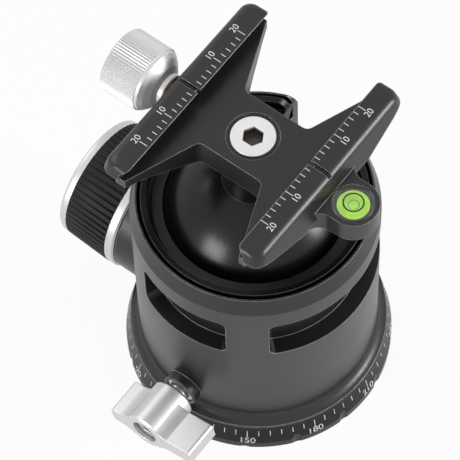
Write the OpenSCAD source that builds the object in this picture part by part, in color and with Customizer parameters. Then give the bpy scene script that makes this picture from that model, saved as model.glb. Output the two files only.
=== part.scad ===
// Tripod ball head with a screw clamp, in millimetres.
// Origin: centre of the base's underside, at the mouth of the tripod thread. +Z is up.
// The main lock knob and the clamp knob point to -X, the pan lock knob to -Y,
// the drop notch to +Y and the level vial to +X.

/* [Base] */
// Radius of the base at its foot
base_r = 36.6; // [36.4:0.1:38]
// Radius of the base under its graduated edge
base_neck_r = 35.4; // [35.3:0.1:36]
// Radius of the base's upper rim
base_rim_r = 35.15; // [35:0.05:35.3]
// Height of the base
base_h = 9.2; // [9:0.05:9.2]
// Number of grip flutes round the base
flute_count = 16; // [8:1:24]
// Radius of the cutter that makes each grip flute
flute_r = 2.5; // [2:0.1:4]
// Depth of each grip flute
flute_depth = 0.42; // [0.2:0.02:0.8]
// Radius of the tripod thread, nominal 3/8 inch
tripod_thread_r = 4.7625; // [4.5:0.0125:5]
// Length of the tripod thread
tripod_thread_len = 13; // [10:0.5:13]

/* [Housing] */
// Outer radius of the housing
body_r = 32.5; // [32.3:0.1:33]
// Height of the housing's crest
body_top = 74.7; // [74:0.1:75]
// Height where the shoulder starts
shoulder_z = 69.7; // [69:0.1:71]
// Radius of the crest
crest_r = 30.9; // [30.8:0.1:31.2]
// Radius of the bore that guides the pressure cup
bore_r = 26.6; // [26.5:0.05:26.8]
// Underside of the wall pockets
pocket_z0 = 48; // [47:0.5:50]
// Top of the wall pockets
pocket_z1 = 63.3; // [61:0.1:64]
// Radius of the pockets' back wall
pocket_back_r = 28; // [27.8:0.1:29]
// Corner radius of the pockets
pocket_corner_r = 2.5; // [1.5:0.1:4]
// Direction and half angle of the pocket above the pan lock, in degrees
pan_pocket = [-91.1, 24.2];
// Direction and half angle of the pocket opposite the main knob, in degrees
back_pocket = [0, 47];
// Half width of the drop notch
notch_r = 9.4; // [9:0.1:10]
// Radius that flares the mouth of the drop notch
notch_flare_r = 4.5; // [3.5:0.1:5]

/* [Ball] */
// Radius of the ball
ball_r = 26; // [25.9:0.05:26]
// Height of the ball's centre
ball_z = 59.9; // [59.8:0.05:60]
// Radius of the neck
neck_r = 8.3; // [7.5:0.1:8.6]
// Height of the neck's upper end
neck_top = 94; // [93.5:0.1:94]

/* [Main lock] */
// Height of the main lock's axis
lock_z = 29; // [28.9:0.05:29.1]
// Radius of the boss behind the main knob
lock_boss_r = 17.5; // [17:0.1:17.6]
// Radius of the knob's rubber grip at its inner end
grip_in_r = 18.2; // [18:0.1:18.6]
// Radius of the knob's rubber grip at its outer end
grip_out_r = 17.6; // [17.4:0.1:18]
// Number of ribs on the rubber grip
grip_ribs = 60; // [40:1:72]
// Rise of the wedge for each unit of its travel
wedge_slope = 0.2; // [0.18:0.01:0.2]

/* [Pan lock] */
// Height of the pan lock's axis
pan_z = 18; // [17.9:0.05:18.1]
// Radius of the wing knob's hub
wing_hub_r = 6; // [5.6:0.1:6.5]
// Reach of the longer wing
wing_long = 15.9; // [13:0.1:16]
// Reach of the shorter wing
wing_short = 11.1; // [9:0.1:12]
// Thickness of the wings
wing_t = 5; // [4:0.1:6]
// Radius that blends the wings into the hub
wing_blend_r = 7; // [3:0.5:10]
// Angle of the wings, longer wing up, in degrees
wing_tilt = 11; // [-20:1:20]

/* [Clamp] */
// Height of the jaws' top faces
jaw_top = 108.8; // [108.6:0.1:109]
// Height of the floor between the jaws
floor_z = 103.9; // [103.8:0.05:104]
// Inner edge of the fixed jaw
fixed_lip_x = 17.3; // [17.2:0.1:17.5]
// Inner edge of the movable jaw
moving_lip_x = -16.6; // [-16.8:0.1:-16.5]
// Width of the camera plate that the grooves take
plate_w = 38; // [37.9:0.1:38.2]
// Half length of the jaws' top faces
jaw_half = 27.8; // [27.4:0.1:28.2]
// Half length of the jaws at the foot of their leaning ends
jaw_foot_half = 30.4; // [30.2:0.1:31]
// Radius along the jaws' outer top edges
jaw_round = 2.5; // [1.5:0.1:3]
// Radius along the top edges of the jaws' ends
end_round = 1.8; // [1:0.1:2.2]
// Corner radius of the jaws' ends
jaw_corner_r = 3; // [1.5:0.1:4]
// Height of the clamp screw's axis
screw_z = 100.4; // [100.2:0.05:100.5]
// Radius of the clamp knob
clamp_knob_r = 9; // [8.6:0.1:9.2]
// Number of serrations on the clamp knob
clamp_knob_teeth = 72; // [48:1:90]

/* [Level] */
// Distance of the level vial from the head's axis
vial_x = 30.7; // [30.5:0.1:31]
// Radius of the vial's clear case
vial_r = 5.3; // [5.2:0.1:5.6]
// Radius of the tab that holds the vial
tab_r = 6.6; // [6.5:0.1:7]

/* [Hidden] */
$fn = 96;

// Colours
black = [0.09, 0.09, 0.10];
gloss_black = [0.05, 0.05, 0.06];
rubber_black = [0.16, 0.16, 0.17];
silver = [0.78, 0.78, 0.79];
steel = [0.66, 0.67, 0.69];
bronze = [0.72, 0.52, 0.30];
polymer = [0.90, 0.89, 0.85];
clear = [0.85, 0.92, 0.88];
green = [0.62, 0.85, 0.20];

// Gaps
eps = 0.05;                     // between parts that bear on each other
fit = 0.1;                      // of a sliding piece in its guide
ball_gap = 0.3;                 // all round the ball
blend_sink = 0.05;              // of a concave blend into the faces that it joins
far = 60;                       // longer than any cut needs

// Base and pan bearing
cone_z = 3;                     // where the base's side starts to lean in
ledge_z = 8;                    // top of the graduated band
flute_h = 6.5;
bushing_r = 7;
washer_in = 17.2;
washer_out = 28.8;
washer_sink = 0.5;
washer_h = 0.65;
hub_r = 14;
hub_flange_r = 17.5;
hub_flange_z = 21.4;
hub_flange_h = 1.9;
screw_circle_r = 10.8;
screw_r = 2;
screw_head_r = 3.9;
screw_head_h = 2;
screw_sink = 0.4;
screw_top = 17;
small_hex_r = 1.5;

// Housing
foot_z = base_h + 0.2;
foot_r = 35.1;
foot_edge = 0.2;
cove_r = 3.4;
cove_z = 13.4;
web_top = hub_flange_z - 0.1;
chamber_z = hub_flange_z + hub_flange_h + 0.1;
ring_seat_z = 65;
pocket_corner_sink = 0.15;
ring_bore_r = 30.4;

// Seat ring and race that hold the ball down
ring_top = body_top + 0.3;
ring_in_r = 27.8;
ring_out_r = 29.4;
ring_land_z0 = 70.7;
ring_land_z1 = 72;
ring_foot_r = 27.5;
race_out_r = 26.5;
race_z0 = 64.6;
race_z1 = 71.4;

// Pressure cup and wedge
guide_h = 1.2;
guide_r = bore_r - fit;
guide_rail_in = 17.6;
guide_rail_out = 20.6;
guide_rail_len = 28;
guide_rail_h = 2.9;
wedge_z0 = chamber_z + guide_h + eps;
wedge_x0 = -19;
wedge_x1 = 17;
wedge_half = guide_rail_in - fit;
wedge_plate_h = 2.8;
wedge_rail_w = 4.5;
wedge_mid_z = 33.5;             // height of the sloping face on the head's axis
nut_x1 = -8;
nut_half = 8;
nut_top = 33.9;
thread_r = 3.5;
guide_screw_at = [0, 150, 210]; // directions of the guide's screws
guide_screw_circle = 22.5;
guide_screw_r = 1.5;
guide_screw_head_r = 2.6;
guide_screw_h = 7.5;
guide_slot_x = -19.5;           // the guide is cut away under the spindle from here outwards
guide_slot_half = 7.6;
wedge_angle = atan(wedge_slope);
cup_r = bore_r - fit;
cup_in_r = 17;
cup_top = 46;
cup_slot_half = 9;
cup_slot_z = 37;
liner_z = 40;
liner_r = ball_r + ball_gap + 1.2;

// Main lock
boss_x = 35.2;
spindle_r = 5;
spindle_in = 5;                 // distance of the spindle's inner end from the axis
spindle_step = 20;
knob_x = 35.5;                  // inner face of the knob
grip_x0 = 38.2;
grip_x1 = 52;
cap_h = 2.5;
cap_edge = 1.1;
barrel_r = 15.5;
core_shaft_r = 4;
core_pocket_r = 11;
core_pocket_x = 44;
clip_x = 24.3;
clip_h = 1;
clip_r = 6.6;
clip_groove_r = 4.4;
lock_bush_r = 7;
lock_bush_x = 25.5;
rib_depth = 0.75;

// Pan lock
pan_boss_r = 5;
pan_boss_y = 35;
insert_r = 4.2;
insert_y = 19.2;
stud_r = 3;
pad_r = 2.6;
pad_len = 5.5;
hub_y0 = 36.7;
hub_y1 = 50.3;
wing_y0 = 40;
wing_hub_chamfer = 0.5;
wing_hub_bevel = 0.9;           // of the hub's end towards the body
wing_corner_r = 0.9;
counterbore_r = 3.8;
counterbore_h = 4.2;
wing_screw_r = 3.3;
wing_screw_shank = 1.5;
wing_screw_hex = 1.6;

// Clamp: both dovetails slope at 45 degrees
groove_mid_x = (fixed_lip_x + moving_lip_x) / 2;
fixed_groove_x = groove_mid_x + plate_w / 2;
moving_groove_x = groove_mid_x - plate_w / 2;
fixed_lip_h = fixed_groove_x - fixed_lip_x;
moving_lip_h = moving_lip_x - moving_groove_x;
jaw_flat_x = 21.6;              // where both jaws' flat tops end
jaw_foot_x = 25.5;
jaw_foot_z = 100;
jaw_root = 2;                   // of the fixed jaw, into the plate
end_drop = 4.2;                 // from the top to the foot of the jaws' ends
slab_h = 0.01;                  // of each slice of the jaws' envelope
// Underside of a jaw towards its ends, [distance from the middle, height]
jaw_arch = [[14, jaw_foot_z], [25, 103.4], [28, 104.8], [31.6, 105]];
block_z = 95;
block_x1 = 21.5;
block_boss_r = 8;
block_boss_z = neck_top + 0.1;
plate_x0 = -20.4;
skirt_x = plate_x0 - 0.1;
// Underside of the plate, [distance from the middle, height]
plate_belly = [[10, 95], [17.5, 98], [25, 100.4], [29.2, 100.8]];
cut_y = 9.3;                    // near edge of the trapezoid cut-outs
cut_near = 9.7;
cut_far_y = 29;
cut_far = 17.5;
cut_corner_r = 2;
centre_notch_w = 1.2;
centre_notch_h = 1.2;
bolt_head_r = 5.73;
bolt_recess_r = 6.8;
bolt_recess_h = 0.7;
bolt_head_edge = 0.6;
bolt_cone_h = 2.9;
bolt_r = 3;
bolt_z = 78;
bolt_hex_r = 2.9;
bolt_hex_h = 3;
pin_y = 7.4;
pin_z = 99.6;
pin_r = 1.5;
pin_x0 = -7;
pin_x1 = -24.8;
spring_r = 2.2;
spring_wire_r = 0.35;
spring_turns = 5;
spring_hole_r = 2.8;
spring_hole_len = 6;
spring_steps = 10;
clamp_screw_in = 9;
clamp_screw_r = 3;
clamp_washer_r = 4.3;
clamp_washer_h = 0.4;
clamp_neck_r = 4.3;
clamp_neck_x = 27.2;
clamp_dome_x = 31.2;
clamp_end_x = 42.1;
clamp_edge = 1.3;
tooth_depth = 0.35;

// Level
tab_top = 102.7;
tab_foot = 95.7;
tab_root_half = 9.6;
tab_blend_r = 4.6;              // radius that blends the tab into the jaw's side
tab_blend_x = 28.5;             // where that blend meets the tab's straight side
vial_foot = 97;
vial_top = 102.9;
fluid_r = 4.1;
fluid_z0 = 98.2;
fluid_z1 = 101;
bubble_r = 1.4;
bubble_sphere_r = 2.2;
vial_mark_r = 2.55;
vial_mark_w = 0.4;
vial_mark_h = 0.15;

// ---- helpers ----

// Places children so that their +Z points to -X, starting at distance d from the axis.
module to_minus_x(d, z) {
  translate([-d, 0, z])
    rotate([0, -90, 0])
      children();
}

// Places children so that their +Z points to -Y, starting at distance d from the axis.
module to_minus_y(d, z) {
  translate([0, -d, z])
    rotate([90, 0, 0])
      children();
}

// Solid of revolution from [radius, height] points.
module turned(points) {
  rotate_extrude()
    polygon(points);
}

// Ring between two radii and two heights.
module ring(r_in, r_out, z0, z1) {
  difference() {
    translate([0, 0, z0])
      cylinder(r = r_out, h = z1 - z0);
    translate([0, 0, z0 - 1])
      cylinder(r = r_in, h = z1 - z0 + 2);
  }
}

// Disc with a rounded outer edge on its far face.
module rounded_disc(r, h, edge) {
  rotate_extrude() {
    square([r - edge, h]);
    square([r, h - edge]);
    translate([r - edge, h - edge])
      intersection() {
        circle(r = edge);
        square(edge);
      }
  }
}

// Point on a circle, degrees.
function polar(r, a) = [r * cos(a), r * sin(a)];

// Outline with flat-topped ribs: each rib gives two crest and two root points.
function rib_outline(crest, root, count) = [
  for (i = [0 : count - 1])
    for (k = [0 : 3])
      polar(k < 2 ? crest : root, (i + [0, 0.45, 0.6, 0.85][k]) * 360 / count)
];

// Outline with pointed serrations.
function tooth_outline(crest, root, count) = [
  for (i = [0 : 2 * count - 1])
    polar(i % 2 == 0 ? crest : root, i * 180 / count)
];

// Wedge from the axis outwards, centred on an azimuth.
module wedge(z0, z1, mid, half) {
  reach = far / cos(half);
  translate([0, 0, z0])
    linear_extrude(height = z1 - z0)
      polygon([[0, 0], polar(reach, mid - half), polar(far, mid), polar(reach, mid + half)]);
}

// ---- base ----

module base_plate() color(black) difference() {
  turned([[0, 0], [base_r - 0.5, 0], [base_r, 0.5], [base_r, cone_z], [base_neck_r, ledge_z],
          [base_rim_r, base_h], [0, base_h]]);
  for (i = [0 : flute_count - 1])
    rotate([0, 0, -36.6 + i * 360 / flute_count])
      translate([base_r + flute_r - flute_depth, 0, -1])
        cylinder(r = flute_r, h = flute_h + 1);
  translate([0, 0, -1])
    cylinder(r = bushing_r + eps, h = base_h + 2);
  ring(washer_in - fit, washer_out + fit, base_h - washer_sink, base_h + 1);
  for (a = [45 : 90 : 315])
    rotate([0, 0, a])
      translate([screw_circle_r, 0, 0]) {
        translate([0, 0, -1])
          cylinder(r = screw_r + eps, h = base_h + 2);
        translate([0, 0, -eps])
          cylinder(r = screw_head_r + eps, h = screw_sink + eps);
        translate([0, 0, screw_sink - eps])
          cylinder(r1 = screw_head_r + eps, r2 = screw_r + eps, h = screw_head_h + eps);
      }
}

module thread_bushing() color(steel) ring(tripod_thread_r, bushing_r, 0, tripod_thread_len);

module pan_hub() color(steel) difference() {
  turned([[0, base_h], [hub_r, base_h], [hub_r, hub_flange_z], [hub_flange_r, hub_flange_z],
          [hub_flange_r, hub_flange_z + hub_flange_h], [0, hub_flange_z + hub_flange_h]]);
  translate([0, 0, base_h - 1])
    cylinder(r = bushing_r + eps, h = tripod_thread_len - base_h + 1 + 4 * eps);
  for (a = [45 : 90 : 315])
    rotate([0, 0, a])
      translate([screw_circle_r, 0, base_h - 1])
        cylinder(r = screw_r + eps, h = screw_top - base_h + 1.5);
}

module hub_screws() color(steel)
  for (a = [45 : 90 : 315])
    rotate([0, 0, a])
      translate([screw_circle_r, 0, screw_sink])
        difference() {
          union() {
            cylinder(r1 = screw_head_r, r2 = screw_r, h = screw_head_h);
            cylinder(r = screw_r, h = screw_top - screw_sink);
          }
          translate([0, 0, -1])
            cylinder(r = small_hex_r, h = 2.4, $fn = 6);
        }

module thrust_washer() color(polymer)
  ring(washer_in, washer_out, base_h - washer_sink, base_h - washer_sink + washer_h);

// ---- housing ----

// Notch through which the neck drops, drawn in the XZ plane.
module notch_profile() {
  flare_x = notch_r + notch_flare_r;
  flare_z = body_top - 3.5;
  translate([0, ball_z])
    circle(r = notch_r);
  translate([-notch_r, ball_z])
    square([2 * notch_r, far]);
  difference() {
    translate([-flare_x, flare_z])
      square([2 * flare_x, far / 2]);
    for (side = [-1, 1])
      translate([side * flare_x, flare_z])
        circle(r = notch_flare_r);
  }
}

module notch_cut() {
  translate([0, far, 0])
    rotate([90, 0, 0])
      linear_extrude(height = far)
        notch_profile();
}

// Rounded end of a pocket, cut outwards along +X, its corners towards +Y. The corners' circles
// reach a little past the pocket's floor and roof, which the pocket then cuts off.
module pocket_end() {
  r = pocket_corner_r;
  height = pocket_z1 - pocket_z0;
  low = r - pocket_corner_sink;
  translate([cup_in_r, 0, pocket_z0])
    rotate([90, 0, 90])
      linear_extrude(height = far - cup_in_r) {
        translate([-3 * r, -1])
          square([3 * r, height + 2]);
        translate([-r, low])
          square([2 * r, height - 2 * low]);
        for (y = [low, height - low])
          translate([0, y])
            circle(r = r);
      }
}

// Pocket in the wall with rounded corners, from the outside to its back wall.
module wall_pocket(mid, half) {
  inset = asin(pocket_corner_r / body_r);
  intersection() {
    ring(pocket_back_r, body_r + 2, pocket_z0, pocket_z1);
    union() {
      wedge(pocket_z0 - 1, pocket_z1 + 1, mid, half - 2 * inset);
      for (side = [0, 1])
        rotate([0, 0, mid])
          mirror([0, side, 0])
            rotate([0, 0, half - inset])
              pocket_end();
    }
  }
}

module housing_blank() {
  rotate_extrude() {
    difference() {
      translate([0, foot_z])
        square([foot_r, cove_z - foot_z]);
      translate([body_r + cove_r, cove_z])
        circle(r = cove_r);
    }
    polygon([[0, foot_z + foot_edge], [body_r, cove_z - 0.01], [body_r, shoulder_z],
             [crest_r, body_top], [0, body_top]]);
  }
  to_minus_x(0, lock_z)
    cylinder(r = lock_boss_r, h = boss_x);
  to_minus_y(0, pan_z)
    cylinder(r = pan_boss_r, h = pan_boss_y);
}

module housing() color(black) difference() {
  housing_blank();
  translate([0, 0, foot_z - 1])
    cylinder(r = hub_r + fit, h = far);
  translate([0, 0, web_top])
    cylinder(r = hub_flange_r + 0.4, h = far);
  translate([0, 0, chamber_z])
    cylinder(r = bore_r, h = far);
  translate([0, 0, ring_seat_z])
    cylinder(r = ring_bore_r, h = far);
  notch_cut();
  wall_pocket(pan_pocket[0], pan_pocket[1]);
  wall_pocket(back_pocket[0], back_pocket[1]);
  to_minus_x(lock_bush_x - 3, lock_z)
    cylinder(r = lock_bush_r + eps, h = far);
  to_minus_y(insert_y, pan_z)
    cylinder(r = insert_r + eps, h = far);
  to_minus_y(hub_r - 1, pan_z)
    cylinder(r = pad_r + eps, h = far);
  for (a = guide_screw_at)
    rotate([0, 0, a])
      translate([guide_screw_circle, 0, chamber_z - guide_screw_h - 0.5])
        cylinder(r = guide_screw_r + eps, h = far);
}

module seat_ring() color(black) difference() {
  turned([[ring_in_r, ring_top], [ring_in_r, ring_land_z1], [race_out_r + eps, race_z1 - 0.2],
          [race_out_r + eps, ring_seat_z + eps], [ring_foot_r, ring_seat_z + eps],
          [ring_bore_r - eps, ring_land_z0], [ring_bore_r - eps, ring_land_z1],
          [ring_out_r, ring_land_z1 + 0.6], [ring_out_r, ring_top]]);
  notch_cut();
}

module top_race() color(gloss_black) difference() {
  ring(ring_in_r - 6, race_out_r, race_z0, race_z1 - 0.4);
  translate([0, 0, ball_z])
    sphere(r = ball_r + ball_gap);
  notch_cut();
}

module guide_plate() color(steel) difference() {
  union() {
    translate([0, 0, chamber_z])
      cylinder(r = guide_r, h = guide_h);
    for (side = [-1, 1])
      translate([-guide_rail_len / 2, side > 0 ? guide_rail_in : -guide_rail_out, chamber_z])
        cube([guide_rail_len, guide_rail_out - guide_rail_in, guide_h + guide_rail_h]);
  }
  translate([guide_slot_x - far, -guide_slot_half, chamber_z - 1])
    cube([far, 2 * guide_slot_half, far]);
  for (a = guide_screw_at)
    rotate([0, 0, a])
      translate([guide_screw_circle, 0, chamber_z]) {
        translate([0, 0, -1])
          cylinder(r = guide_screw_r + eps, h = far);
        cylinder(r1 = guide_screw_r + eps, r2 = guide_screw_head_r + 0.15, h = guide_h + 0.01);
      }
}

module guide_screws() color(steel)
  for (a = guide_screw_at)
    rotate([0, 0, a])
      translate([guide_screw_circle, 0, chamber_z]) {
        translate([0, 0, -guide_screw_h])
          cylinder(r = guide_screw_r, h = guide_screw_h + 0.3);
        translate([0, 0, 0.1])
          cylinder(r1 = guide_screw_r, r2 = guide_screw_head_r, h = guide_h - 0.1);
      }

module lock_bushing() color(bronze)
  to_minus_x(lock_bush_x, lock_z)
    ring(spindle_r + eps, lock_bush_r, 0, boss_x - lock_bush_x);

module pan_insert() color(steel)
  to_minus_y(insert_y, pan_z)
    ring(stud_r + eps, insert_r, 0, pan_boss_y - 0.4 - insert_y);

// ---- pressure cup and wedge ----

// Half space below the cup's sloping underside.
module below_slope(gap) {
  translate([0, 0, wedge_mid_z - gap])
    rotate([0, -wedge_angle, 0])
      translate([-far, -far, -far])
        cube([2 * far, 2 * far, far]);
}

module pressure_cup() color(silver) difference() {
  ring(cup_in_r, cup_r, 20, cup_top);
  below_slope(0);
  translate([0, 0, ball_z])
    sphere(r = ball_r + ball_gap + 0.2);
  intersection() {
    translate([0, 0, ball_z])
      sphere(r = liner_r);
    translate([0, 0, liner_z])
      cylinder(r = far, h = far);
  }
  translate([-far, -cup_slot_half, 0])
    cube([far, 2 * cup_slot_half, cup_slot_z]);
}

module cup_liner() color(polymer) difference() {
  intersection() {
    translate([0, 0, ball_z])
      sphere(r = liner_r - eps);
    translate([0, 0, liner_z + eps])
      cylinder(r = far, h = cup_top - liner_z - eps - 0.2);
  }
  translate([0, 0, ball_z])
    sphere(r = ball_r + ball_gap);
}

module lock_wedge() color(steel) difference() {
  union() {
    translate([wedge_x0, -wedge_half, wedge_z0])
      cube([wedge_x1 - wedge_x0, 2 * wedge_half, wedge_plate_h]);
    translate([wedge_x0, -nut_half, wedge_z0])
      cube([nut_x1 - wedge_x0, 2 * nut_half, nut_top - wedge_z0]);
    intersection() {
      below_slope(eps);
      for (side = [0, 1])
        mirror([0, side, 0])
          translate([wedge_x0, wedge_half - wedge_rail_w, wedge_z0])
            cube([wedge_x1 - wedge_x0, wedge_rail_w, far / 3]);
    }
  }
  to_minus_x(0, lock_z)
    cylinder(r = thread_r + eps, h = far);
}

// ---- main lock knob ----

module lock_spindle() color(steel) to_minus_x(0, lock_z) difference() {
  turned([[0, spindle_in], [thread_r - 0.5, spindle_in], [thread_r, spindle_in + 0.5],
          [thread_r, spindle_step], [spindle_r, spindle_step], [spindle_r, clip_x - 0.1],
          [clip_groove_r, clip_x - 0.1], [clip_groove_r, clip_x + clip_h + 0.1],
          [spindle_r, clip_x + clip_h + 0.1], [spindle_r, knob_x - eps], [core_shaft_r, knob_x - eps],
          [core_shaft_r, core_pocket_x - 0.5], [0, core_pocket_x - 0.5]]);
  translate([0, 0, core_pocket_x - 8])
    cylinder(r = 2.5 + eps, h = far);
}

module spindle_clip() color(steel) to_minus_x(clip_x, lock_z) difference() {
  ring(clip_groove_r + eps, clip_r, 0, clip_h);
  translate([0, -1.5, -1])
    cube([far, 3, clip_h + 2]);
}

module knob_core() color(silver) to_minus_x(0, lock_z)
  turned([[core_shaft_r + eps, knob_x], [grip_in_r - 0.7, knob_x], [grip_in_r - 0.1, knob_x + 0.6],
          [grip_in_r - 0.1, grip_x0], [barrel_r, grip_x0], [barrel_r, grip_x1], [core_pocket_r, grip_x1],
          [core_pocket_r, core_pocket_x], [core_shaft_r + eps, core_pocket_x]]);

module knob_grip() color(rubber_black) to_minus_x(grip_x0, lock_z) difference() {
  intersection() {
    linear_extrude(height = grip_x1 - grip_x0 - eps)
      polygon(rib_outline(grip_in_r + 0.1, grip_in_r - rib_depth, grip_ribs));
    translate([0, 0, eps])
      cylinder(r1 = grip_in_r, r2 = grip_out_r, h = grip_x1 - grip_x0 - 2 * eps);
  }
  translate([0, 0, -1])
    cylinder(r = barrel_r + eps, h = far);
}

module knob_cap() color(silver) to_minus_x(grip_x1, lock_z) {
  rounded_disc(grip_out_r - 0.1, cap_h, cap_edge);
  translate([0, 0, -3])
    ring(core_pocket_r - 2, core_pocket_r - eps, 0, 3);
}

module knob_screw() color(steel) to_minus_x(core_pocket_x, lock_z) difference() {
  union() {
    translate([0, 0, -7.5])
      cylinder(r = 2.5, h = 8);
    cylinder(r = 6, h = 3.4);
  }
  translate([0, 0, 1.2])
    cylinder(r = 2.3, h = 5, $fn = 6);
}

// ---- pan lock ----

module pan_pad() color(polymer)
  to_minus_y(hub_r + eps, pan_z)
    cylinder(r = pad_r, h = pad_len);

module pan_stud() color(steel) to_minus_y(0, pan_z) difference() {
  turned([[0, hub_r + pad_len + 2 * eps], [pad_r - 0.4, hub_r + pad_len + 2 * eps],
          [stud_r, hub_r + pad_len + 2 * eps + 0.8], [stud_r, hub_y1 - counterbore_h - eps],
          [0, hub_y1 - counterbore_h - eps]]);
  translate([0, 0, hub_y1 - counterbore_h - 7])
    cylinder(r = wing_screw_shank + eps, h = far);
}

// Outline of the wings across the knob's axis, longer wing to +X.
module wing_outline() {
  half = wing_t / 2;
  r = wing_corner_r;
  // centre of the circle that touches both the hub and a wing's side
  blend_y = half + wing_blend_r - blend_sink;
  blend_x = sqrt(pow(wing_hub_r + wing_blend_r - blend_sink, 2) - blend_y * blend_y);
  rotate(wing_tilt) {
    translate([-wing_short + r, -half])
      square([wing_short + wing_long - 2 * r, wing_t]);
    translate([-wing_short, -half + r])
      square([wing_short + wing_long, wing_t - 2 * r]);
    for (x = [wing_long - r, r - wing_short], y = [half - r, r - half])
      translate([x, y])
        circle(r = r, $fn = 48);
    for (flip_x = [0, 1], flip_y = [0, 1])
      mirror([flip_x, 0])
        mirror([0, flip_y])
          difference() {
            polygon([[0, 0], [blend_x, 0], [blend_x, blend_y]]);
            translate([blend_x, blend_y])
              circle(r = wing_blend_r);
          }
  }
}

module wing_knob() color(silver) to_minus_y(0, pan_z) difference() {
  union() {
    turned([[0, hub_y0], [wing_hub_r - wing_hub_bevel, hub_y0], [wing_hub_r, hub_y0 + wing_hub_bevel],
            [wing_hub_r, hub_y1 - wing_hub_chamfer], [wing_hub_r - wing_hub_chamfer, hub_y1],
            [0, hub_y1]]);
    translate([0, 0, wing_y0])
      linear_extrude(height = hub_y1 - wing_y0)
        wing_outline();
  }
  cylinder(r = stud_r + eps, h = far);
  translate([0, 0, hub_y1 - counterbore_h])
    cylinder(r = counterbore_r, h = far);
}

module wing_screw() color(steel) to_minus_y(hub_y1 - counterbore_h, pan_z) difference() {
  union() {
    translate([0, 0, -6.5])
      cylinder(r = wing_screw_shank, h = 7);
    cylinder(r = wing_screw_r, h = 3);
  }
  translate([0, 0, 1.3])
    cylinder(r = wing_screw_hex, h = 5, $fn = 6);
}

// ---- ball ----

module ball() color(gloss_black) difference() {
  union() {
    translate([0, 0, ball_z])
      sphere(r = ball_r);
    translate([0, 0, ball_z])
      cylinder(r = neck_r, h = neck_top - ball_z);
  }
  translate([0, 0, bolt_z - 1])
    cylinder(r = bolt_r + eps, h = far);
}

// ---- clamp ----

// Extrudes an XZ profile along Y between plus and minus half.
module along_y(half) {
  translate([0, half, 0])
    rotate([90, 0, 0])
      linear_extrude(height = 2 * half)
        children();
}

// Prism along X between two places, from a YZ outline.
module along_x(x0, x1, points) {
  translate([x0, 0, 0])
    rotate([90, 0, 90])
      linear_extrude(height = x1 - x0)
        polygon(points);
}

// Cuts the underside of a jaw so that it rises towards both ends.
module jaw_arch_cut() {
  first = jaw_arch[0];
  last = jaw_arch[len(jaw_arch) - 1];
  for (side = [0, 1])
    mirror([0, side, 0])
      along_x(-far, far, concat(jaw_arch, [[far, last[1]], [far, first[1] - far], [first[0], first[1] - far]]));
}

// Thin slab with rounded outer corners, a slice of the jaws' envelope.
module end_slab(x_out, half, z) {
  r = jaw_corner_r;
  translate([0, 0, z])
    linear_extrude(height = slab_h) {
      translate([0, -half])
        square([x_out - r, 2 * half]);
      for (side = [-1, 1])
        translate([x_out - r, side * (half - r)])
          circle(r = r, $fn = 32);
    }
}

// How far an edge of radius r reaches out at a drop below its top.
function edge_reach(r, drop) = drop >= r ? r : sqrt(r * r - (r - drop) * (r - drop));

// Space that a jaw on the +X side may fill: rounded top edges, leaning sides and round corners.
module jaw_envelope() {
  round_x = jaw_flat_x + jaw_round;
  lean = (jaw_foot_x - round_x) / (jaw_top - jaw_round - jaw_foot_z);
  hull() {
    for (turn = [0 : 15 : 90]) {
      drop = jaw_round * (1 - cos(turn));
      end_slab(jaw_flat_x + edge_reach(jaw_round, drop), jaw_half + edge_reach(end_round, drop),
               jaw_top - slab_h - drop);
    }
    end_slab(round_x + lean * (end_drop - jaw_round), jaw_foot_half, jaw_top - end_drop);
    end_slab(jaw_foot_x, jaw_foot_half, jaw_foot_z);
  }
}

// Point on a corner's rounding where it meets the edge towards q.
function tangent_point(p, q, reach) = p + (q - p) / norm(q - p) * reach;

// Trapezoid cut-out at the clamp's +Y end, with rounded near corners.
module end_cutout() {
  run = cut_far_y - cut_y;
  open = atan2(cut_far - cut_near, run);
  half_angle = (90 + open) / 2;
  reach = cut_corner_r / tan(half_angle);
  corner = [cut_near, cut_y];
  beyond = [cut_near + (far - cut_y) * tan(open), far];
  on_near = tangent_point(corner, [0, cut_y], reach);
  on_side = tangent_point(corner, beyond, reach);
  centre = [on_near[0], cut_y + cut_corner_r];
  polygon([[-on_near[0], cut_y], on_near, on_side, beyond, [-beyond[0], far],
           [-on_side[0], on_side[1]]]);
  for (side = [-1, 1])
    translate([side * centre[0], centre[1]])
      circle(r = cut_corner_r);
}

// Both sides of a YZ outline from its +Y points, closed at a top height.
function both_sides(points, top) = concat(
  [[points[len(points) - 1][0], top]],
  [for (i = [len(points) - 1 : -1 : 0]) points[i]],
  [for (p = points) [-p[0], p[1]]],
  [[-points[len(points) - 1][0], top]]);

plate_side = both_sides(plate_belly, floor_z);
block_side = both_sides([plate_belly[0], plate_belly[1]], jaw_foot_z + 1);

module fixed_jaw_profile() {
  polygon([[fixed_lip_x, jaw_top], [fixed_groove_x, jaw_top - fixed_lip_h], [fixed_groove_x, floor_z],
           [fixed_groove_x - jaw_root, floor_z], [fixed_groove_x - jaw_root, jaw_foot_z],
           [jaw_foot_x + 1, jaw_foot_z], [jaw_foot_x + 1, jaw_top]]);
}

// Outline of the tab that holds the vial, seen from above: a disc on a neck that widens to the jaw.
module tab_outline() {
  translate([vial_x, 0])
    circle(r = tab_r);
  translate([fixed_groove_x, -tab_r])
    square([vial_x - fixed_groove_x, 2 * tab_r]);
  for (side = [0, 1])
    mirror([0, side])
      difference() {
        translate([fixed_groove_x, tab_r - 1])
          square([tab_blend_x - fixed_groove_x, tab_root_half - tab_r + 1]);
        translate([tab_blend_x, tab_r + tab_blend_r - blend_sink])
          circle(r = tab_blend_r);
      }
}

module level_tab() {
  translate([0, 0, tab_foot])
    linear_extrude(height = tab_top - tab_foot)
      tab_outline();
}

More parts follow.
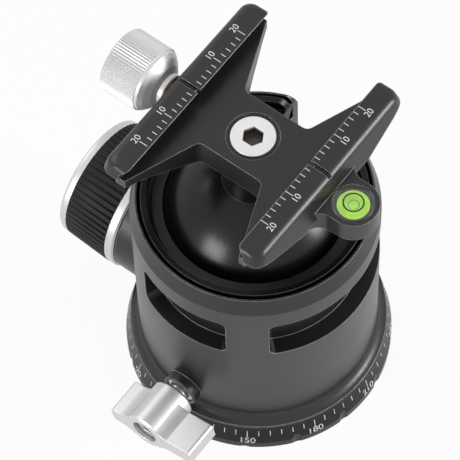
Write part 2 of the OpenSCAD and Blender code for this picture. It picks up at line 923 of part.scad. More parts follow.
module clamp_plate() color(black) difference() {
  union() {
    difference() {
      intersection() {
        along_y(jaw_foot_half + 1)
          fixed_jaw_profile();
        jaw_envelope();
      }
      jaw_arch_cut();
    }
    along_x(plate_x0, fixed_groove_x, plate_side);
    along_x(plate_x0, block_x1, block_side);
    translate([0, 0, block_boss_z])
      cylinder(r = block_boss_r, h = floor_z - block_boss_z);
    level_tab();
  }
  for (side = [0, 1])
    mirror([0, side, 0])
      translate([0, 0, block_z - 1])
        linear_extrude(height = far)
          end_cutout();
  translate([fixed_lip_x - 1, -centre_notch_w / 2, jaw_top - centre_notch_h])
    cube([jaw_foot_x - fixed_lip_x + 2, centre_notch_w, far]);
  cylinder(r = bolt_r + eps, h = 2 * far);
  translate([0, 0, floor_z - bolt_recess_h])
    cylinder(r = bolt_recess_r, h = far);
  translate([0, 0, floor_z - bolt_head_edge - bolt_cone_h])
    cylinder(r1 = bolt_r + eps, r2 = bolt_head_r + eps, h = bolt_cone_h);
  translate([0, 0, floor_z - bolt_head_edge - 0.01])
    cylinder(r = bolt_head_r + eps, h = far);
  to_minus_x(clamp_screw_in - 1, screw_z)
    cylinder(r = clamp_screw_r + eps, h = far);
  for (side = [-1, 1])
    translate([0, side * pin_y, 0]) {
      to_minus_x(-pin_x0, pin_z)
        cylinder(r = pin_r + eps, h = far);
      to_minus_x(-plate_x0 - spring_hole_len, pin_z)
        cylinder(r = spring_hole_r, h = far);
    }
  translate([vial_x, 0, vial_foot - eps])
    cylinder(r = vial_r + eps, h = far);
}

module stem_bolt() color(silver) difference() {
  union() {
    translate([0, 0, floor_z - bolt_head_edge])
      cylinder(r = bolt_head_r, h = bolt_head_edge);
    translate([0, 0, floor_z - bolt_head_edge - bolt_cone_h + eps])
      cylinder(r1 = bolt_r, r2 = bolt_head_r, h = bolt_cone_h - eps);
    translate([0, 0, bolt_z])
      cylinder(r = bolt_r, h = floor_z - bolt_head_edge - bolt_cone_h - bolt_z + 0.2);
  }
  translate([0, 0, floor_z - bolt_hex_h])
    cylinder(r = bolt_hex_r, h = far, $fn = 6);
}

module guide_pins() color(steel)
  for (side = [-1, 1])
    translate([0, side * pin_y, 0])
      to_minus_x(0.5 - pin_x0, pin_z)
        cylinder(r = pin_r, h = pin_x0 - pin_x1 - 0.5);

// Point of the spring's wire section k on ring i, along +Z.
function coil_point(i, k, pitch) =
  let (a = i * 360 / spring_steps, b = k * 60, r = spring_r + spring_wire_r * cos(b))
    [r * cos(a), r * sin(a), spring_wire_r + i * pitch / spring_steps + spring_wire_r * sin(b)];

module coil(length) {
  rings = spring_turns * spring_steps;
  pitch = (length - 2 * spring_wire_r) / spring_turns;
  points = [for (i = [0 : rings], k = [0 : 5]) coil_point(i, k, pitch)];
  sides = [for (i = [0 : rings - 1], k = [0 : 5], t = [0, 1])
    t == 0 ? [i * 6 + k, i * 6 + (k + 1) % 6, (i + 1) * 6 + k]
           : [i * 6 + (k + 1) % 6, (i + 1) * 6 + (k + 1) % 6, (i + 1) * 6 + k]];
  ends = [[5, 4, 3, 2, 1, 0], [for (k = [0 : 5]) rings * 6 + k]];
  polyhedron(points = points, faces = concat(sides, ends));
}

module jaw_springs() color(steel)
  for (side = [-1, 1])
    translate([0, side * pin_y, 0])
      to_minus_x(-plate_x0 - spring_hole_len + 0.1, pin_z)
        coil(spring_hole_len - 0.2);

module vial_case() color(clear) translate([vial_x, 0, 0]) difference() {
  translate([0, 0, vial_foot])
    cylinder(r = vial_r, h = vial_top - vial_foot);
  translate([0, 0, fluid_z0 - eps])
    cylinder(r = fluid_r + eps, h = fluid_z1 - fluid_z0 + 2 * eps);
  ring(vial_mark_r - vial_mark_w / 2, vial_mark_r + vial_mark_w / 2, vial_top - vial_mark_h, vial_top + 1);
}

module vial_fluid() color(green) translate([vial_x, 0, 0]) difference() {
  translate([0, 0, fluid_z0])
    cylinder(r = fluid_r, h = fluid_z1 - fluid_z0);
  translate([0, 0, fluid_z1 + sqrt(bubble_sphere_r * bubble_sphere_r - bubble_r * bubble_r)])
    sphere(r = bubble_sphere_r);
}

module vial_ring() color(gloss_black) translate([vial_x, 0, 0])
  ring(vial_mark_r - vial_mark_w / 2 + 0.02, vial_mark_r + vial_mark_w / 2 - 0.02,
       vial_top - vial_mark_h, vial_top);

// ---- movable jaw and its screw ----

module moving_jaw_profile() {
  polygon([[moving_lip_x, jaw_top], [moving_groove_x, jaw_top - moving_lip_h],
           [moving_groove_x, floor_z + eps], [skirt_x, floor_z + eps], [skirt_x, jaw_foot_z],
           [-jaw_foot_x - 1, jaw_foot_z], [-jaw_foot_x - 1, jaw_top]]);
}

module movable_jaw() color(black) difference() {
  union() {
    difference() {
      intersection() {
        along_y(jaw_foot_half + 1)
          moving_jaw_profile();
        mirror([1, 0, 0])
          jaw_envelope();
      }
      jaw_arch_cut();
    }
    along_x(-jaw_foot_x, skirt_x, block_side);
  }
  translate([-jaw_foot_x - 1, -centre_notch_w / 2, jaw_top - centre_notch_h])
    cube([moving_lip_x + jaw_foot_x + 2, centre_notch_w, far]);
  to_minus_x(0, screw_z)
    cylinder(r = clamp_screw_r + eps, h = far);
  for (side = [-1, 1])
    translate([0, side * pin_y, 0])
      to_minus_x(0, pin_z)
        cylinder(r = pin_r + eps, h = -pin_x1 + 0.2);
}

module clamp_screw() color(steel)
  to_minus_x(clamp_screw_in, screw_z)
    cylinder(r = clamp_screw_r, h = clamp_end_x - 4 - clamp_screw_in);

module clamp_washer() color(steel)
  to_minus_x(jaw_foot_x + eps, screw_z)
    ring(clamp_screw_r + eps, clamp_washer_r, 0, clamp_washer_h);

module clamp_knob() color(silver) to_minus_x(0, screw_z) difference() {
  union() {
    turned([[0, jaw_foot_x + clamp_washer_h + 2 * eps],
            [clamp_neck_r, jaw_foot_x + clamp_washer_h + 2 * eps],
            [clamp_neck_r, clamp_neck_x], [clamp_neck_r + 1.5, clamp_neck_x + 0.8],
            [clamp_knob_r - 1.6, clamp_dome_x - 1.9], [clamp_knob_r - 0.6, clamp_dome_x - 0.8],
            [clamp_knob_r - tooth_depth, clamp_dome_x + 0.1], [0, clamp_dome_x + 0.1]]);
    translate([0, 0, clamp_dome_x])
      intersection() {
        linear_extrude(height = clamp_end_x - clamp_dome_x)
          polygon(tooth_outline(clamp_knob_r, clamp_knob_r - tooth_depth, clamp_knob_teeth));
        rounded_disc(clamp_knob_r + 0.1, clamp_end_x - clamp_dome_x, clamp_edge);
      }
  }
  cylinder(r = clamp_screw_r + eps, h = clamp_end_x - 4 + eps);
}

base_plate();
thread_bushing();
pan_hub();
hub_screws();
thrust_washer();
housing();
seat_ring();
top_race();
guide_plate();
guide_screws();
lock_bushing();
pan_insert();
pressure_cup();
cup_liner();
lock_wedge();
lock_spindle();
spindle_clip();
knob_core();
knob_grip();
knob_cap();
knob_screw();
pan_pad();
pan_stud();
wing_knob();
wing_screw();
ball();
clamp_plate();
stem_bolt();
guide_pins();
jaw_springs();
vial_case();
vial_fluid();
vial_ring();
movable_jaw();
clamp_screw();
clamp_washer();
clamp_knob();
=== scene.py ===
"""Looks of a tripod ball head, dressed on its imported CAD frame. Lengths are in metres."""

import math

import bmesh
import bpy
from mathutils import Matrix, Vector

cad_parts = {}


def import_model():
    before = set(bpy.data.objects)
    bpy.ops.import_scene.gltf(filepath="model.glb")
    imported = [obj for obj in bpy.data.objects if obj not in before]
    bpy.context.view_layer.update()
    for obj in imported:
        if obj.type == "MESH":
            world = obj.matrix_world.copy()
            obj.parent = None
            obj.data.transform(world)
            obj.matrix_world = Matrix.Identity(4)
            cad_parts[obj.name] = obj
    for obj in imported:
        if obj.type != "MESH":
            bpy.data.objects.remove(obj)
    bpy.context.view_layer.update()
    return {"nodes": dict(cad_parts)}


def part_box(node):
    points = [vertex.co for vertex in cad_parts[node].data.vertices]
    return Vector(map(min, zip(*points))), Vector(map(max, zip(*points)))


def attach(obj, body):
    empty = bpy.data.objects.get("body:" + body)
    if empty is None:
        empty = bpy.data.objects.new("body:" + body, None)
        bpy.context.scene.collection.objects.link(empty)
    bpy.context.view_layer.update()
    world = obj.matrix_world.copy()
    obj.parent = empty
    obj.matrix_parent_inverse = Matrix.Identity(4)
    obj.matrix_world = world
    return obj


MM = 0.001

# ---- frame and sizes read from it ----

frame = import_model()
NODES = frame["nodes"]
scene = bpy.context.scene

BASE_FOOT_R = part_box("base_plate")[1].x
JAW_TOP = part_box("movable_jaw")[1].z

# ---- camera ----

CAMERA_AT = Vector((0.240632, -0.302997, 0.756192))
CAMERA_RIGHT = Vector((0.79673, 0.60393, -0.02215))
CAMERA_UP = Vector((-0.52024, 0.70406, 0.48338))
LENS_MM = 239.95
SENSOR_MM = 36
CLIP_NEAR = 0.05
CLIP_FAR = 20

# ---- graduations ----

SCALE_ZERO_DEG = 151.97         # azimuth of the base scale's zero
SCALE_STEP_DEG = 5
SCALE_LABEL_DEG = 30
SCALE_TOP_Z = 8.0 * MM
SCALE_TOP_R = 35.4 * MM
SCALE_FOOT_Z = 3.0 * MM
TICK_W = 0.2 * MM
TICK_LEN = 2.0 * MM
TICK_LONG = 2.7 * MM
SCALE_DIGIT_H = 2.2 * MM
SCALE_DIGIT_Z = 4.0 * MM
MARK_PROUD = 0.02 * MM
MARK_T = 0.03 * MM
JAW_TICK_FROM = 2 * MM
JAW_TICK_TO = 20 * MM
JAW_TICK_STEP = 2 * MM
JAW_TICK_INNER_X = 17.44 * MM
JAW_TICK_SHORT = 1.5 * MM
JAW_TICK_LONG = 2.3 * MM
JAW_TICK_W = 0.19 * MM
JAW_DIGIT_H = 1.75 * MM
JAW_DIGIT_X = 20.8 * MM
DIGIT_THINNING = 0.004          # of the digits' strokes, as a share of their height
DIGIT_SHARE = 0.7               # of a font's size that its digits stand tall
DIGIT_SMOOTHNESS = 6


# ---- node helpers ----

NOISE_LOW = 0.3                 # most of a noise lies between these
NOISE_HIGH = 0.7
EDGE_SAMPLES = 6
EDGE_RADIUS = 0.34 * MM
EDGE_START = 0.015              # turn of the normal, as one less its cosine, where edge wear and painted highlight start
EDGE_FULL = 0.14                # the same where they are full


def new_material(name):
    """Node material with its tree and its Principled shader."""
    material = bpy.data.materials.new(name)
    material.use_nodes = True
    tree = material.node_tree
    return material, tree, tree.nodes["Principled BSDF"]


def link(tree, a, b):
    tree.links.new(a, b)


def noise(tree, scale, detail=2.0, roughness=0.5):
    """Noise in object space; scale is in features per metre."""
    coordinates = tree.nodes.new("ShaderNodeTexCoord")
    texture = tree.nodes.new("ShaderNodeTexNoise")
    texture.inputs["Scale"].default_value = scale
    texture.inputs["Detail"].default_value = detail
    texture.inputs["Roughness"].default_value = roughness
    link(tree, coordinates.outputs["Object"], texture.inputs["Vector"])
    return texture.outputs["Fac"]


def ramp(tree, source, low, high, start=0.35, end=0.65):
    """Colour between low and high as source goes from start to end."""
    node = tree.nodes.new("ShaderNodeValToRGB")
    for element, place, colour in zip(node.color_ramp.elements, (start, end), (low, high)):
        element.position = place
        element.color = (*colour, 1)
    link(tree, source, node.inputs["Fac"])
    return node.outputs["Color"]


def map_range(tree, source, start, end, low=0.0, high=1.0):
    """Value from low to high as source goes from start to end."""
    node = tree.nodes.new("ShaderNodeMapRange")
    for name, value in (("From Min", start), ("From Max", end), ("To Min", low), ("To Max", high)):
        node.inputs[name].default_value = value
    link(tree, source, node.inputs["Value"])
    return node.outputs["Result"]


def spread(tree, source, low, high):
    """Value from low to high over the range where most of a noise lies."""
    return map_range(tree, source, NOISE_LOW, NOISE_HIGH, low, high)


def object_axes(tree):
    """X, Y and Z in the object's own space, by name."""
    coordinates = tree.nodes.new("ShaderNodeTexCoord")
    split = tree.nodes.new("ShaderNodeSeparateXYZ")
    link(tree, coordinates.outputs["Object"], split.inputs[0])
    return split.outputs


def math_node(tree, operation, a, b=0.0):
    """Result of an operation on numbers or sockets."""
    node = tree.nodes.new("ShaderNodeMath")
    node.operation = operation
    for socket, value in zip(node.inputs, (a, b)):
        if isinstance(value, (int, float)):
            socket.default_value = value
        else:
            link(tree, value, socket)
    return node.outputs[0]


def mix_colour(tree, share, a, b):
    """Colour that goes from socket a to the plain colour b."""
    node = tree.nodes.new("ShaderNodeMix")
    node.data_type = "RGBA"
    link(tree, share, node.inputs["Factor"])
    link(tree, a, node.inputs["A"])
    node.inputs["B"].default_value = (*b, 1)
    return node.outputs["Result"]


def tint(colour, share):
    """Colour made lighter or darker by a share."""
    return tuple(min(1.0, c * share) for c in colour)


def soft_edge(tree, radius):
    """Normal that rounds sharp edges over a radius, and a mask that is 1 on those edges."""
    bevel = tree.nodes.new("ShaderNodeBevel")
    bevel.samples = EDGE_SAMPLES
    bevel.inputs["Radius"].default_value = radius
    geometry = tree.nodes.new("ShaderNodeNewGeometry")
    dot = tree.nodes.new("ShaderNodeVectorMath")
    dot.operation = "DOT_PRODUCT"
    link(tree, bevel.outputs["Normal"], dot.inputs[0])
    link(tree, geometry.outputs["Normal"], dot.inputs[1])
    turned = math_node(tree, "SUBTRACT", 1.0, dot.outputs["Value"])
    return bevel.outputs["Normal"], map_range(tree, turned, EDGE_START, EDGE_FULL)


def grain(tree, shader, height, strength, distance, normal=None):
    """Bump from a height, over a given normal."""
    node = tree.nodes.new("ShaderNodeBump")
    node.inputs["Strength"].default_value = strength
    node.inputs["Distance"].default_value = distance
    link(tree, height, node.inputs["Height"])
    if normal is not None:
        link(tree, normal, node.inputs["Normal"])
    link(tree, node.outputs["Normal"], shader.inputs["Normal"])


# ---- materials: noise scales are in features per metre ----

DRIFT_SCALE = 80
WEAR_AND_HIGHLIGHT_SCALE = 420
PATCH_SCALE = 200
RIPPLE_SCALE = 250
RUBBER_SCALE = 3500
LEAST_WEAR_AND_HIGHLIGHT = 0.45               # share of full wear and painted highlight that every edge has
GRAIN_STRENGTH = 0.6


def finish_metal(name, colour, wear_and_highlight_colour, roughness, metallic=0.0, specular=0.5, grain_scale=4500,
                 grain_depth=0.005 * MM, edge=EDGE_RADIUS, drift_share=0.1):
    """Blasted or turned metal skin: drifting tone, fine grain, and softened edges whose lighter colour is
    partly wear and partly a painted highlight.
    """
    material, tree, shader = new_material(name)
    drift = noise(tree, DRIFT_SCALE, 3)
    skin = ramp(tree, drift, tint(colour, 1 - drift_share), tint(colour, 1 + drift_share))
    normal, mask = soft_edge(tree, edge)
    # edges go towards a lighter colour: partly rubbed wear, partly a painted highlight on the chamfers
    wear_and_highlight = math_node(tree, "MULTIPLY", mask, spread(tree, noise(tree, WEAR_AND_HIGHLIGHT_SCALE, 3), LEAST_WEAR_AND_HIGHLIGHT, 1.0))
    link(tree, mix_colour(tree, wear_and_highlight, skin, wear_and_highlight_colour), shader.inputs["Base Color"])
    fine = noise(tree, grain_scale, 2)
    patches = spread(tree, drift, 0.94, 1.06)
    grains = spread(tree, fine, roughness * 0.85, roughness * 1.15)
    link(tree, math_node(tree, "MULTIPLY", patches, grains), shader.inputs["Roughness"])
    shader.inputs["Metallic"].default_value = metallic
    shader.inputs["Specular IOR Level"].default_value = specular
    grain(tree, shader, fine, GRAIN_STRENGTH, grain_depth, normal)
    return material


RIB_EDGE = 0.15 * MM


def rubber(name, colour):
    """Matt rubber, grained, with edges made lighter partly by rubbing and partly by a painted highlight on
    the ribs.
    """
    material, tree, shader = new_material(name)
    fine = noise(tree, RUBBER_SCALE, 4, 0.7)
    normal, mask = soft_edge(tree, RIB_EDGE)
    skin = ramp(tree, fine, tint(colour, 0.75), tint(colour, 1.35))
    # lighter rib edges: rubbing and a painted highlight
    link(tree, mix_colour(tree, math_node(tree, "MULTIPLY", mask, 0.6), skin, tint(colour, 2.6)),
         shader.inputs["Base Color"])
    link(tree, spread(tree, noise(tree, 160, 2), 0.62, 0.78), shader.inputs["Roughness"])
    shader.inputs["Specular IOR Level"].default_value = 0.3
    grain(tree, shader, fine, 0.7, 0.012 * MM, normal)
    return material


def plastic(name, colour, roughness, grain_scale=3000, drift_share=0.06):
    """Moulded plastic or paint with a fine grain."""
    material, tree, shader = new_material(name)
    fine = noise(tree, grain_scale, 3)
    link(tree, ramp(tree, fine, tint(colour, 1 - drift_share), tint(colour, 1 + drift_share)),
         shader.inputs["Base Color"])
    patches = noise(tree, PATCH_SCALE, 2)
    link(tree, spread(tree, patches, roughness * 0.9, roughness * 1.1), shader.inputs["Roughness"])
    grain(tree, shader, fine, 0.3, 0.004 * MM)
    return material


def clear(name, colour):
    """Clear acrylic with a faint ripple from moulding."""
    material, tree, shader = new_material(name)
    drift = noise(tree, 60, 1)
    link(tree, ramp(tree, drift, tint(colour, 0.985), colour), shader.inputs["Base Color"])
    link(tree, spread(tree, noise(tree, 300, 1), 0.02, 0.05), shader.inputs["Roughness"])
    shader.inputs["IOR"].default_value = 1.49
    shader.inputs["Transmission Weight"].default_value = 1.0
    grain(tree, shader, noise(tree, RIPPLE_SCALE, 1), 0.2, 0.01 * MM)
    return material


BUBBLE_X = 30.8 * MM
BUBBLE_R = 1.4 * MM
BUBBLE_RIM = 0.16 * MM
BUBBLE_SHADE_TONE = 0.35          # tone of the painted shade at the bubble's rim, of the fluid's own tone
FLUID_GLOW = 0.3


def level_fluid(name, colour):
    """Fluorescent level fluid: bright colour with a faint light of its own, and painted shade round the
    bubble's rim.
    """
    material, tree, shader = new_material(name)
    drift = noise(tree, 220, 2)
    skin = ramp(tree, drift, tint(colour, 0.9), tint(colour, 1.08))
    axes = object_axes(tree)
    # painted shade: a dark ring where the bubble's edge would bend the light
    off_x = math_node(tree, "SUBTRACT", axes["X"], BUBBLE_X)
    x_square = math_node(tree, "POWER", off_x, 2.0)
    y_square = math_node(tree, "POWER", axes["Y"], 2.0)
    radius = math_node(tree, "SQRT", math_node(tree, "ADD", x_square, y_square))
    off_rim = math_node(tree, "SUBTRACT", radius, BUBBLE_R)
    rim_shade = map_range(tree, math_node(tree, "ABSOLUTE", off_rim), BUBBLE_RIM, BUBBLE_RIM / 2)
    skin = mix_colour(tree, rim_shade, skin, tint(colour, BUBBLE_SHADE_TONE))
    link(tree, skin, shader.inputs["Base Color"])
    link(tree, skin, shader.inputs["Emission Color"])
    link(tree, spread(tree, drift, 0.08, 0.18), shader.inputs["Roughness"])
    shader.inputs["Emission Strength"].default_value = FLUID_GLOW
    grain(tree, shader, noise(tree, 500, 1), 0.25, 0.02 * MM)
    return material


# each metal's second colour is its edges' wear and painted highlight
BLACK = finish_metal("black_anodised", (0.008, 0.008, 0.0085), (0.46, 0.46, 0.47), 0.36, specular=0.5)
# darker, less glossy copy of the black anodising: painted shade on the seat ring and the base
SHADED_BLACK = finish_metal("shaded_black", (0.004, 0.004, 0.0045), (0.16, 0.16, 0.165), 0.32, specular=0.2)
BALL = finish_metal("ball_black", (0.003, 0.003, 0.0035), (0.04, 0.04, 0.04), 0.27, specular=0.3,
                    grain_scale=5200, grain_depth=0.0015 * MM)
RACE = plastic("dark_race", (0.010, 0.010, 0.011), 0.5)
SILVER = finish_metal("knob_silver", (0.62, 0.62, 0.625), (0.92, 0.92, 0.92), 0.38, metallic=0.72,
                      grain_scale=5200, grain_depth=0.002 * MM, drift_share=0.03)
KNURLED = finish_metal("knurled_silver", (0.66, 0.66, 0.665), (0.95, 0.95, 0.95), 0.44, metallic=0.6,
                       grain_scale=2400, grain_depth=0.001 * MM, edge=0.05 * MM, drift_share=0.03)
CUP = finish_metal("cup_alloy", (0.50, 0.50, 0.51), (0.62, 0.62, 0.62), 0.38, metallic=1.0)
GRIP = rubber("grip_rubber", (0.012, 0.012, 0.0125))
STEEL = finish_metal("steel", (0.58, 0.585, 0.60), (0.72, 0.72, 0.73), 0.30, metallic=1.0, drift_share=0.06)
BRIGHT = finish_metal("bright_steel", (0.82, 0.82, 0.815), (0.95, 0.95, 0.95), 0.42, metallic=0.6,
                      grain_scale=5200, drift_share=0.03)
BRONZE = finish_metal("bronze", (0.13, 0.085, 0.055), (0.30, 0.20, 0.13), 0.42, metallic=1.0)
POLYMER = plastic("polymer", (0.76, 0.75, 0.70), 0.45)
CLEAR = clear("vial_clear", (0.95, 0.985, 0.94))
GREEN = level_fluid("vial_green", (0.45, 0.80, 0.05))
MARK_BLACK = plastic("vial_mark", (0.006, 0.006, 0.006), 0.4)
WHITE = plastic("marking_white", (0.95, 0.95, 0.95), 0.5, drift_share=0.05)
FADED = plastic("faded_white", (0.62, 0.62, 0.62), 0.6, grain_scale=1400, drift_share=0.3)

FINISH = {
    BLACK: ["housing", "clamp_plate", "movable_jaw"],
    SHADED_BLACK: ["seat_ring", "base_plate"],
    BALL: ["ball"],
    RACE: ["top_race"],
    SILVER: ["knob_core", "knob_cap", "wing_knob"],
    KNURLED: ["clamp_knob"],
    CUP: ["pressure_cup"],
    GRIP: ["knob_grip"],
    BRIGHT: ["stem_bolt"],
    STEEL: ["thread_bushing", "pan_hub", "hub_screws", "guide_plate", "guide_screws", "pan_insert",
            "lock_wedge", "lock_spindle", "spindle_clip", "knob_screw", "pan_stud", "wing_screw",
            "jaw_springs", "guide_pins", "clamp_screw"],
    BRONZE: ["lock_bushing", "clamp_washer"],
    POLYMER: ["thrust_washer", "cup_liner", "pan_pad"],
    CLEAR: ["vial_case"],
    GREEN: ["vial_fluid"],
    MARK_BLACK: ["vial_ring"],
}

RECESS_DEPTH = 0.5 * MM         # below a bolt's top, where the socket's painted shade starts
SOCKET_SHADE = (0.10, 0.085, 0.075)


def shade_socket(material, node, colour):
    """Paints shade on a bolt below its top face, darkening its socket."""
    tree = material.node_tree
    base_colour = tree.nodes["Principled BSDF"].inputs["Base Color"]
    skin = base_colour.links[0].from_socket
    top = max(v.co.z for v in node.data.vertices)
    socket_shade_share = map_range(tree, object_axes(tree)["Z"], top - RECESS_DEPTH, top - 2 * RECESS_DEPTH)
    link(tree, mix_colour(tree, socket_shade_share, skin, colour), base_colour)


# painted shade inside the stem bolt's hex socket
shade_socket(BRIGHT, NODES["stem_bolt"], SOCKET_SHADE)

for material, names in FINISH.items():
    for name in names:
        slots = NODES[name].data.materials
        slots.clear()
        slots.append(material)


# ---- smooth roundings on the jaws ----

EDGE_BREAK = 0.16 * MM
EDGE_BREAK_ANGLE = 27           # edges sharper than this get a break, in degrees
WELD_REACH = 0.0005 * MM


def smooth_group():
    """Node group that shades every face smooth."""
    group = bpy.data.node_groups.new("smooth_faces", "GeometryNodeTree")
    for way in ("INPUT", "OUTPUT"):
        group.interface.new_socket("Geometry", in_out=way, socket_type="NodeSocketGeometry")
    start = group.nodes.new("NodeGroupInput")
    smooth = group.nodes.new("GeometryNodeSetShadeSmooth")
    end = group.nodes.new("NodeGroupOutput")
    group.links.new(start.outputs[0], smooth.inputs["Geometry"])
    group.links.new(smooth.outputs["Geometry"], end.inputs[0])
    return group


SMOOTH_FACES = smooth_group()


def break_edges(node):
    """Joins a node's patches, breaks its sharp edges, and lets shading run on round its soft ones."""
    weld = node.modifiers.new("weld", "WELD")
    weld.merge_threshold = WELD_REACH
    bevel = node.modifiers.new("edges", "BEVEL")
    bevel.width = EDGE_BREAK
    bevel.segments = 2
    bevel.limit_method = "ANGLE"
    bevel.angle_limit = math.radians(EDGE_BREAK_ANGLE)
    bevel.harden_normals = False
    smooth = node.modifiers.new("smooth", "NODES")
    smooth.node_group = SMOOTH_FACES
    weighted = node.modifiers.new("normals", "WEIGHTED_NORMAL")
    weighted.keep_sharp = False


for name in ("clamp_plate", "movable_jaw"):
    break_edges(NODES[name])


# ---- marks ----

def mark_piece(name, mesh, material, body):
    """Painted marks that ride on a body."""
    piece = bpy.data.objects.new(name, mesh)
    scene.collection.objects.link(piece)
    mesh.materials.append(material)
    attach(piece, body)


def add_slab(bm, place, size_x, size_y):
    """Adds a thin box centred at the origin of place, its top towards place's +Z."""
    corners = []
    for z in (-MARK_T, MARK_PROUD):
        for x, y in ((-1, -1), (1, -1), (1, 1), (-1, 1)):
            corners.append(bm.verts.new(place @ Vector((x * size_x / 2, y * size_y / 2, z))))
    low, high = corners[:4], corners[4:]
    bm.faces.new(low[::-1])
    bm.faces.new(high)
    for i in range(4):
        j = (i + 1) % 4
        bm.faces.new((low[i], low[j], high[j], high[i]))


def text_mesh(text, height):
    """Flat solid digits centred on the origin, upright along +Y, facing +Z."""
    curve = bpy.data.curves.new("digits", "FONT")
    curve.body = text
    curve.align_x = "CENTER"
    curve.align_y = "CENTER"
    curve.size = height / DIGIT_SHARE
    curve.resolution_u = DIGIT_SMOOTHNESS
    curve.extrude = (MARK_T + MARK_PROUD) / 2
    curve.offset = -height * DIGIT_THINNING
    holder = bpy.data.objects.new("digits", curve)
    scene.collection.objects.link(holder)
    bpy.context.view_layer.update()
    mesh = bpy.data.meshes.new_from_object(holder.evaluated_get(bpy.context.evaluated_depsgraph_get()))
    bpy.data.objects.remove(holder)
    bpy.data.curves.remove(curve)
    return mesh


def add_text(bm, place, text, height):
    """Adds digits to a mesh being built, standing just proud of the surface."""
    mesh = text_mesh(text, height)
    mesh.transform(place @ Matrix.Translation((0, 0, (MARK_PROUD - MARK_T) / 2)))
    bm.from_mesh(mesh)
    bpy.data.meshes.remove(mesh)


def side_slope():
    """Lean of the graduated band from upright."""
    return math.atan2(BASE_FOOT_R - SCALE_TOP_R, SCALE_TOP_Z - SCALE_FOOT_Z)


def on_base(azimuth, z):
    """Frame on the base's graduated side: +Z out of it, +Y up along it."""
    radius = SCALE_TOP_R + (SCALE_TOP_Z - z) * math.tan(side_slope())
    spin = Matrix.Rotation(math.radians(azimuth), 4, "Z")
    stand = Matrix.Rotation(math.radians(90), 4, "Z") @ Matrix.Rotation(math.radians(90), 4, "X")
    lean = Matrix.Rotation(-side_slope(), 4, "X")
    return spin @ Matrix.Translation((radius, 0, z)) @ stand @ lean


def finish_marks(bm, name, material, body):
    """Makes a piece of the marks built so far."""
    mesh = bpy.data.meshes.new(name)
    bm.to_mesh(mesh)
    bm.free()
    mark_piece(name, mesh, material, body)


def base_scale():
    """Ticks round the base."""
    bm = bmesh.new()
    for value in range(0, 360, SCALE_STEP_DEG):
        azimuth = SCALE_ZERO_DEG + value
        labelled = value % SCALE_LABEL_DEG == 0
        length = TICK_LONG if labelled else TICK_LEN
        add_slab(bm, on_base(azimuth, SCALE_TOP_Z - length / 2), TICK_W, length)
    finish_marks(bm, "base_scale", FADED, "base")


def base_numbers():
    """Degrees under the long ticks."""
    bm = bmesh.new()
    for value in range(0, 360, SCALE_LABEL_DEG):
        add_text(bm, on_base(SCALE_ZERO_DEG + value, SCALE_DIGIT_Z), str(value), SCALE_DIGIT_H)
    finish_marks(bm, "base_numbers", FADED, "base")


def jaw_scale(name, side, body):
    """Ticks and numbers on a jaw's top face; side is +1 for the fixed jaw, -1 for the movable one."""
    bm = bmesh.new()
    steps = round((JAW_TICK_TO - JAW_TICK_FROM) / JAW_TICK_STEP)
    for end in (-1, 1):
        for i in range(steps + 1):
            y = JAW_TICK_FROM + i * JAW_TICK_STEP
            labelled = round(y / MM) % 10 == 0
            length = JAW_TICK_LONG if labelled else JAW_TICK_SHORT
            x = side * (JAW_TICK_INNER_X + length / 2)
            add_slab(bm, Matrix.Translation((x, end * y, JAW_TOP)), length, JAW_TICK_W)
            if labelled:
                turn = Matrix.Rotation(math.radians(90), 4, "Z")
                place = Matrix.Translation((side * JAW_DIGIT_X, end * y, JAW_TOP)) @ turn
                add_text(bm, place, str(round(y / MM)), JAW_DIGIT_H)
    finish_marks(bm, name, WHITE, body)


base_scale()
base_numbers()
jaw_scale("fixed_jaw_scale", 1, "clamp")
jaw_scale("movable_jaw_scale", -1, "jaw")


# ---- stage, lights and camera ----

WHITE_LIGHT = (1, 1, 1, 1)
FLOOR_HALF = 6.0
FLOOR_COLOUR = (0.9, 0.9, 0.9, 1)
FLOOR_ROUGHNESS = 0.9
FLOOR_SPECULAR = 0.1
FLOOR_GLOW = 0.93               # share of white that the camera, metal and glass find on the floor
WORLD_LEVEL = 0.35              # light that the surroundings throw on the object


def seen_rays(tree):
    """1 for the rays of the camera, of reflections and of glass, and 0 for the rays that light the object."""
    path = tree.nodes.new("ShaderNodeLightPath")
    glass = math_node(tree, "MAXIMUM", path.outputs["Is Glossy Ray"], path.outputs["Is Transmission Ray"])
    return math_node(tree, "MAXIMUM", path.outputs["Is Camera Ray"], glass)


def mix_shader(tree, factor, a, b, output):
    """Feeds an output from a to b as the factor goes from 0 to 1."""
    mixed = tree.nodes.new("ShaderNodeMixShader")
    link(tree, factor, mixed.inputs["Fac"])
    link(tree, a, mixed.inputs[1])
    link(tree, b, mixed.inputs[2])
    link(tree, mixed.outputs[0], output)


def floor():
    """White floor that still takes a little of the object's shadow."""
    mesh = bpy.data.meshes.new("floor")
    bm = bmesh.new()
    bmesh.ops.create_grid(bm, x_segments=2, y_segments=2, size=FLOOR_HALF)
    bm.to_mesh(mesh)
    bm.free()
    piece = bpy.data.objects.new("floor", mesh)
    scene.collection.objects.link(piece)
    material, tree, shader = new_material("floor_white")
    shader.inputs["Base Color"].default_value = FLOOR_COLOUR
    shader.inputs["Roughness"].default_value = FLOOR_ROUGHNESS
    shader.inputs["Specular IOR Level"].default_value = FLOOR_SPECULAR
    white = tree.nodes.new("ShaderNodeEmission")
    share = math_node(tree, "MULTIPLY", seen_rays(tree), FLOOR_GLOW)
    surface = tree.nodes["Material Output"].inputs["Surface"]
    mix_shader(tree, share, shader.outputs[0], white.outputs[0], surface)
    mesh.materials.append(material)


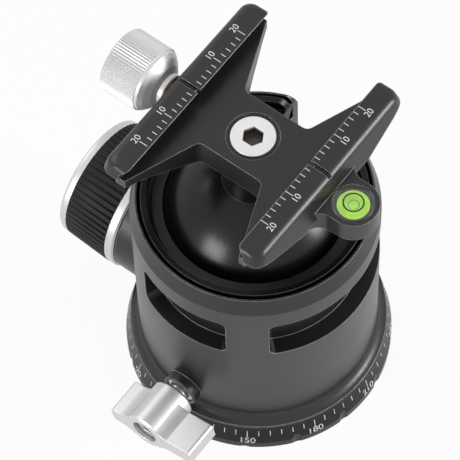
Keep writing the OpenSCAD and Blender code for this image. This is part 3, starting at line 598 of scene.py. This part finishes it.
def world():
    """Surroundings that look white and light the object dimly."""
    made = bpy.data.worlds.new("studio")
    made.use_nodes = True
    tree = made.node_tree
    dim = tree.nodes["Background"]
    dim.inputs["Color"].default_value = WHITE_LIGHT
    dim.inputs["Strength"].default_value = WORLD_LEVEL
    white = tree.nodes.new("ShaderNodeBackground")
    white.inputs["Color"].default_value = WHITE_LIGHT
    surface = tree.nodes["World Output"].inputs["Surface"]
    mix_shader(tree, seen_rays(tree), dim.outputs[0], white.outputs[0], surface)
    scene.world = made


LAMP_AIM = Vector((0, 0, 0.06))


def softbox(name, azimuth, elevation, distance, width, height, radiance):
    """Rectangular lamp that faces the object from a direction in degrees."""
    lamp = bpy.data.lights.new(name, "AREA")
    lamp.shape = "RECTANGLE"
    lamp.size = width
    lamp.size_y = height
    lamp.energy = radiance * math.pi * width * height
    level = math.cos(math.radians(elevation))
    out = Vector((level * math.cos(math.radians(azimuth)), level * math.sin(math.radians(azimuth)),
                  math.sin(math.radians(elevation))))
    piece = bpy.data.objects.new(name, lamp)
    piece.location = LAMP_AIM + distance * out
    piece.rotation_euler = (-out).to_track_quat("-Z", "Y").to_euler()
    scene.collection.objects.link(piece)


def camera():
    """Camera on the photograph's view."""
    data = bpy.data.cameras.new("camera")
    data.lens = LENS_MM
    data.sensor_width = SENSOR_MM
    data.clip_start = CLIP_NEAR
    data.clip_end = CLIP_FAR
    piece = bpy.data.objects.new("camera", data)
    back = CAMERA_RIGHT.cross(CAMERA_UP).normalized()
    turn = Matrix((CAMERA_RIGHT.normalized(), CAMERA_UP.normalized(), back)).transposed().to_4x4()
    piece.matrix_world = Matrix.Translation(CAMERA_AT) @ turn
    scene.collection.objects.link(piece)
    scene.camera = piece


floor()
world()
softbox("front", azimuth=-100, elevation=15, distance=0.8, width=0.31, height=0.26, radiance=13)
softbox("right", azimuth=27, elevation=17, distance=0.8, width=0.24, height=0.30, radiance=22)
softbox("left", azimuth=178, elevation=42, distance=0.9, width=0.5, height=0.4, radiance=2.2)
camera()
scene.view_settings.view_transform = "Standard"
